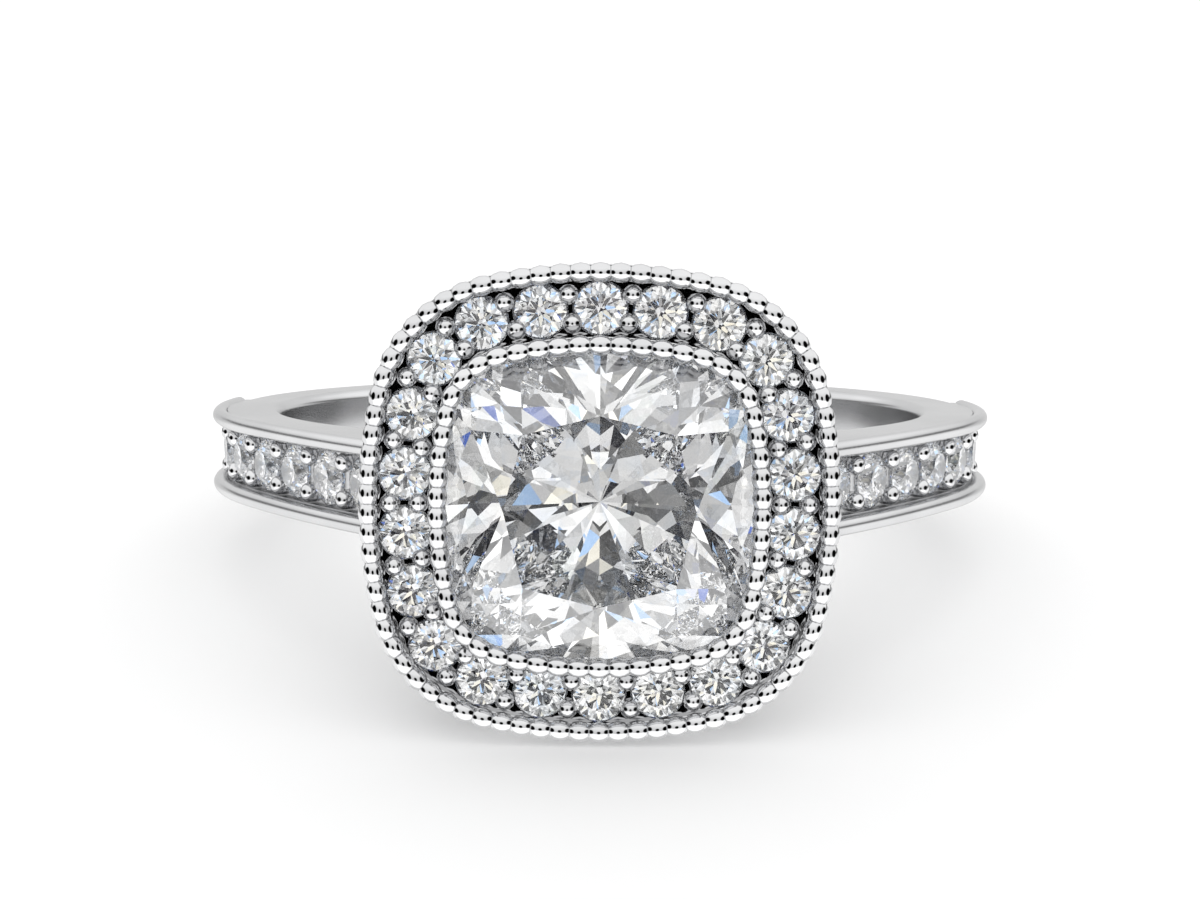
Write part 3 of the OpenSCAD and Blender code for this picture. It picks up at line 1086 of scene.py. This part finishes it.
@dataclass
class Beads(MountingPart):
    """Every bead of the mounting: milgrain, halo beads and shoulder beads."""

    grain: Bead = Bead(0.4, 0.02, -0.45)
    grain_gap: float = 0.008
    grain_stretch: float = 1.42
    grain_width: float = 1.08
    prong: Bead = Bead(0.43, 0.06, -0.7)
    prong_offset: float = 0.3
    shoulder_bead: Bead = Bead(0.48, 0.07, -0.6)
    shoulder_inset: float = 0.01
    segments: int = 12
    rings: int = 7

    def build(self) -> list[Piece]:
        """Models each kind of bead once and copies it along its rows."""
        s = self.sizes
        made = [
            self._milgrain("rim_milgrain", s.rim_in + s.wall_t / 2, s.rim_top),
            self._milgrain("bezel_milgrain", s.bezel_in + s.wall_t / 2, s.bezel_top),
            self._halo_beads(),
            self._shoulder_beads(),
        ]
        return [self.dress(piece) for piece in made]

    def dome(self, bead: Bead) -> Piece:
        """A ball whose buried lower part is cut away.

        Args:
            bead: The kind of bead, cut at a share of its radius above its middle.

        Returns:
            The dome, its middle at the origin.
        """
        Bench.clear()
        r = bead.diameter / 2
        bpy.ops.mesh.primitive_uv_sphere_add(
            segments=self.segments, ring_count=self.rings, radius=r
        )
        piece = bpy.context.object
        Bench.open_all()
        cut = (0, 0, bead.cut_share * r)
        bpy.ops.mesh.bisect(plane_co=cut, plane_no=(0, 0, -1), clear_outer=True, use_fill=True)
        return Bench.close(piece)

    def _milgrain(self, name: str, half: float, height: float) -> Piece:
        """A row of beads on top of a wall."""
        c = self.sizes.cushion
        length = 4 * c.quarter_length(half)
        grain = self.grain.diameter
        count = 2 * int(length / (grain + self.grain_gap) / 2)
        stretch = Matrix.Diagonal((self.grain_stretch, self.grain_width, 1, 1))
        places = []
        for i in range(count):
            spot = c.point(half, i * length / count)
            ahead = c.point(half, i * length / count + grain / 4) - spot
            turn = Matrix.Rotation(math.atan2(ahead.y, ahead.x), 4, "Z")
            place = Matrix.Translation((*spot, height + self.grain.lift)) @ turn @ stretch
            places.append(self.sizes.on_head @ place)
        return Bench.copies(name, self.dome(self.grain), places)

    def _halo_beads(self) -> Piece:
        """Two beads in every gap between halo stones."""
        s = self.sizes
        c = s.cushion
        places = []
        for i in range(s.halo_count):
            for side in SIDES:
                half = s.halo_row + side * self.prong_offset
                along = (i + 0.5) * 4 * c.quarter_length(half) / s.halo_count
                spot = (*c.point(half, along), s.floor + self.prong.lift)
                places.append(s.on_head @ Matrix.Translation(spot))
        return Bench.copies("halo_beads", self.dome(self.prong), places)

    def _shoulder_beads(self) -> Piece:
        """Two beads in every gap between shoulder stones."""
        s, bead = self.sizes, self.shoulder_bead
        aside = s.channel_half - bead.diameter / 2 - self.shoulder_inset
        places = [
            s.on_shoulder(side, s.first_stone + (0.5 - i) * s.shoulder_pitch)
            @ Matrix.Translation((0, edge * aside, s.hoop_r + bead.lift))
            for side in SIDES
            for i in range(s.shoulder_count + 1)
            for edge in SIDES
        ]
        return Bench.copies("shoulder_beads", self.dome(bead), places)


@dataclass
class CentreStone:
    """The centre stone, cut so deep that its pavilion throws the light back."""

    sizes: RingSizes
    finish: CutDiamond = CutDiamond(Row.CENTRE, 0.55, 0.2, 3.0)
    flat_deg: float = 0.3
    table_side: float = 1.95
    table_corner: float = 2.2
    half_turn: float = 0.62
    inset: float = 0.985
    depth: float = 3.0
    belly: float = 1.12
    corner_pull: float = 0.06
    tiers: tuple[tuple[float, bool], ...] = ((0.2, True), (0.4, False), (0.6, True), (0.8, False))

    def build(self) -> Piece:
        """Stretches flat facets over the corners of the cut."""
        s = self.sizes
        piece = Bench.outline("centre_stone_cut", self._corners())
        bpy.ops.mesh.delete(type="EDGE_FACE")
        bpy.ops.mesh.select_all(action="SELECT")
        bpy.ops.mesh.remove_doubles(threshold=NEAR)
        bpy.ops.mesh.convex_hull(use_existing_faces=False, join_triangles=False)
        bpy.ops.mesh.select_all(action="SELECT")
        bpy.ops.mesh.dissolve_limited(angle_limit=math.radians(self.flat_deg))
        Bench.close(piece)
        piece.data.transform(s.as_it_lies @ s.on_head)
        piece.data.materials.append(self.finish.material())
        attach(piece, "root")
        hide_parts(Row.CENTRE.value)
        return piece

    @staticmethod
    def _eight(x: float, y: float, z: float) -> list[Vector]:
        """A corner of the cut with its mirror images in all eight parts of the stone."""
        made = []
        for n in range(4):
            turn = Matrix.Rotation(n * QUARTER_TURN, 3, "Z")
            made += [turn @ Vector((x, y, z)), turn @ Vector((-x, y, z))]
        return made

    def _corners(self) -> list[Vector]:
        """Every corner of the cut, right, up and outward on the head."""
        s = self.sizes
        c, half = s.cushion, s.cushion.stone_half
        top = s.girdle_top
        low = top - s.girdle_t
        crown = (half - self.table_side) * s.crown_slope
        corner = c.corner_centre + c.corner_r(half) / math.sqrt(2)
        step = c.side_r(half) * c.side_turn
        near = c.point(half, step * self.half_turn)
        bend = c.point(half, step)
        table = self.table_corner / math.sqrt(2)
        kite_side = (half + self.table_side) / 2
        kite_corner = (corner + table) - kite_side
        made = self._eight(0, self.table_side, top + crown)
        made += self._eight(table, table, top + crown)
        made += self._eight(kite_corner, kite_side, top + crown / 2)
        for height in (top, low):
            for x, y in ((0, half), near, bend, (corner, corner)):
                made += self._eight(x, y, height)
        for share, turned in self.tiers:
            wide = 1 - share**self.belly
            pull = wide * (1 - self.corner_pull * share)
            height = low - self.depth * share
            if turned:
                made += self._eight(*(near * self.inset * wide), height)
            else:
                made += self._eight(0, half * wide, height)
                made += self._eight(corner * pull, corner * pull, height)
        return [*made, Vector((0, 0, low - self.depth))]


@dataclass
class Stones:
    """The round stones, which stay as packed and get their diamond."""

    nodes: dict[str, Piece]
    finishes: tuple[CutDiamond, ...] = (
        CutDiamond(Row.HALO, 0.34, 0.25, 7.0),
        CutDiamond(Row.SHOULDER, 0.36, 0.25, 11.0),
    )

    def dress(self) -> int:
        """Gives every stone the diamond of its row and returns how many there are."""
        count = 0
        for finish in self.finishes:
            material = finish.material()
            for name, node in self.nodes.items():
                if finish.row.value in name:
                    node.data.materials.clear()
                    node.data.materials.append(material)
                    count += 1
        return count


@dataclass(frozen=True)
class Card:
    """A soft-edged oval of the studio, on both sides; azimuth 0 is where the camera is."""

    azimuth_deg: float
    elevation_deg: float
    half_width_deg: float
    half_height_deg: float
    level: float
    softness: float = 0.3


@dataclass(frozen=True)
class Surroundings:
    """The studio round the ring by direction, as the metal and the stones see it."""

    metal_sees: tuple[Card, ...] = (
        Card(0, 90, 60, 60, 1.3, 0.5),
        Card(0, -45, 70, 38, 1.75, 0.2),
        Card(112, -30, 40, 22, 1.35),
        Card(112, 30, 38, 14, 1.3, 0.4),
        Card(112, 2, 34, 6, 0.2, 0.4),
        Card(64, 8, 26, 22, 0.0),
        Card(0, 7.5, 13, 15, 0.0),
    )
    metal_base: float = 0.95
    floor_sees: tuple[Card, ...] = (Card(0, 76, 38, 38, 1.35, 0.4),)
    floor_base: float = 1.0
    stone_cells: float = 3.6
    stone_level: float = 1.45
    stone_clouds: float = 3.0
    stone_cloud_range: Point = (-0.2, 0.75)
    stone_tones: Stops = (
        (0.0, grey(0.005)),
        (0.08, (0.03, 0.03, 0.035)),
        (0.14, grey(0.12)),
        (0.21, grey(0.26)),
        (0.27, (0.1, 0.18, 0.6)),
        (0.29, (0.5, 0.7, 1.0)),
        (0.36, (1.0, 0.75, 0.4)),
        (0.366, (1.0, 0.96, 0.85)),
        (0.385, grey(0.42)),
        (0.53, grey(0.6)),
        (0.67, grey(0.82)),
        (0.8, grey(1.0)),
    )

    def world(self, graph: Graph) -> None:
        """Fills the world's shader.

        Args:
            graph: The world's node tree.
        """
        way = graph.node("ShaderNodeTexCoord", output="Generated")
        off_metal = graph.node("ShaderNodeLightPath", output="Is Glossy Ray")
        through_stone = graph.node("ShaderNodeLightPath", output="Is Transmission Ray")
        folded = graph.vector("MAXIMUM", way, graph.vector("MULTIPLY", way, (-1, 1, 1)))
        floor = self._level(graph, folded, self.floor_base, self.floor_sees)
        metal = self._level(graph, folded, self.metal_base, self.metal_sees)
        outside = graph.mix(off_metal, floor, metal)
        colour = graph.mix(through_stone, outside, self._mosaic(graph, way))
        strength = through_stone * (self.stone_level - 1) + 1
        back = graph.node("ShaderNodeBackground", {}, {"Color": colour, "Strength": strength})
        graph.node("ShaderNodeOutputWorld", {}, {"Surface": back})

    def _level(self, graph: Graph, way: Wave, base: float, cards: tuple[Card, ...]) -> Wave:
        """Brightness by direction: a base with cards in front of it, the last one foremost."""
        level = base
        for card in cards:
            inside = self._inside(graph, way, card)
            level = (1 - inside) * level + inside * card.level
        return level

    @staticmethod
    def _inside(graph: Graph, way: Wave, card: Card) -> Wave:
        """Share of a card in each direction: 1 on it and 0 beside it."""

        def along(direction: Vector) -> Wave:
            """Length of the way along a direction."""
            return graph.vector("DOT_PRODUCT", way, direction, "Value")

        a, e = math.radians(card.azimuth_deg), math.radians(card.elevation_deg)
        middle = Vector((math.sin(a) * math.cos(e), -math.cos(a) * math.cos(e), math.sin(e)))
        right = Vector((math.cos(a), math.sin(a), 0))
        aside = along(right / math.sin(math.radians(card.half_width_deg)))
        above = along(right.cross(middle) / math.sin(math.radians(card.half_height_deg)))
        far = aside * aside + above * above
        front = along(middle).step(0, CARD_FRONT)
        return (1 - far.step(1 - card.softness, 1 + card.softness)) * front

    def _mosaic(self, graph: Graph, way: Wave) -> Wave:
        """Crisp patches of grey, white and a little colour, each with a gradient."""
        ramp = {"blending": "CONSTANT", "stops": self.stone_tones}
        tones = graph.cells({}, {"Vector": way, "Scale": self.stone_cells}, ramp)
        clouds = {"Vector": way, "Scale": self.stone_clouds, "Detail": 0.0}
        cloud = graph.node("ShaderNodeTexNoise", {}, clouds)
        return graph.mix(cloud.step(*self.stone_cloud_range), grey(0.0), tones)


@dataclass
class Studio:
    """Floor, camera and the soft surroundings."""

    sizes: RingSizes
    distance: float = 53.7
    elevation_deg: float = 16.35
    roll_deg: float = 0.26
    lens: float = 59.64
    shift_y: float = -0.00675
    sensor: float = 36.0
    clip: Point = (0.001, 20)
    bounces: int = 64
    diffuse_bounces: int = 4
    floor_size: float = 4.0
    floor_drop: float = 0.0003

    def build(self) -> None:
        """Sets the whole stage."""
        self._floor()
        self._camera()
        self._world()
        self._light_paths()

    def _floor(self) -> None:
        """A wide, flat, matt sheet under the ring."""
        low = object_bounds()[0].z
        Bench.clear()
        bpy.ops.mesh.primitive_plane_add(size=self.floor_size, location=(0, 0, 0))
        floor = bpy.context.object
        floor.name = "floor"
        Bench.open_all()
        bpy.ops.transform.translate(value=(0, 0, low - self.floor_drop * MM))
        Bench.mode("OBJECT")
        floor.data.materials.append(PaleFloor().material())
        floor.visible_glossy = False
        floor.visible_transmission = False
        floor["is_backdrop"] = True

    def _camera(self) -> None:
        """The photo's camera, looking at the middle of the finger hole."""
        e = math.radians(self.elevation_deg)
        away = Vector((0, -math.cos(e), math.sin(e)))
        data = bpy.data.cameras.new("camera")
        camera = bpy.data.objects.new("camera", data)
        bpy.context.scene.collection.objects.link(camera)
        turn = (-away).to_track_quat("-Z", "Y").to_matrix().to_4x4()
        roll = Matrix.Rotation(math.radians(self.roll_deg), 4, "Z")
        camera.matrix_world = Matrix.Translation(away * self.distance * MM) @ turn @ roll
        data.lens = self.lens
        data.sensor_width = self.sensor
        data.shift_y = self.shift_y
        data.clip_start, data.clip_end = self.clip
        bpy.context.scene.camera = camera

    def _world(self) -> None:
        """Soft light from all round."""
        world = bpy.data.worlds.new("studio")
        bpy.context.scene.world = world
        world.use_nodes = True
        Surroundings().world(Graph(world.node_tree))

    def _light_paths(self) -> None:
        """Enough bounces for light to find its way through the stones."""
        scene = bpy.context.scene
        scene.cycles.max_bounces = self.bounces
        scene.cycles.transmission_bounces = self.bounces
        scene.cycles.glossy_bounces = self.bounces
        scene.cycles.diffuse_bounces = self.diffuse_bounces
        scene.cycles.caustics_reflective = True
        scene.cycles.caustics_refractive = True
        scene.view_settings.view_transform = "Standard"


def main() -> None:
    """Builds the ring's visible pieces in order and sets the stage."""
    logging.basicConfig(level=logging.INFO, format="%(message)s")
    sizes = RingSizes()
    gold = PolishedGold().material()
    soft_gold = PolishedGold("softly_polished_white_gold", roughness=0.2).material()
    for part, finish in ((Shank, soft_gold), (EdgeWires, soft_gold), (Head, gold)):
        piece = part(sizes, finish).build()
        LOG.info("%s: %d faces", piece.name, len(piece.data.polygons))
    for piece in Beads(sizes, gold).build():
        LOG.info("%s: %d faces", piece.name, len(piece.data.polygons))
    stone = CentreStone(sizes).build()
    LOG.info("%s: %d facets", stone.name, len(stone.data.polygons))
    LOG.info("round stones: %d", Stones(frame["nodes"]).dress())
    Studio(sizes).build()
    LOG.info("floor, camera and light")


if __name__ == "__main__":
    main()
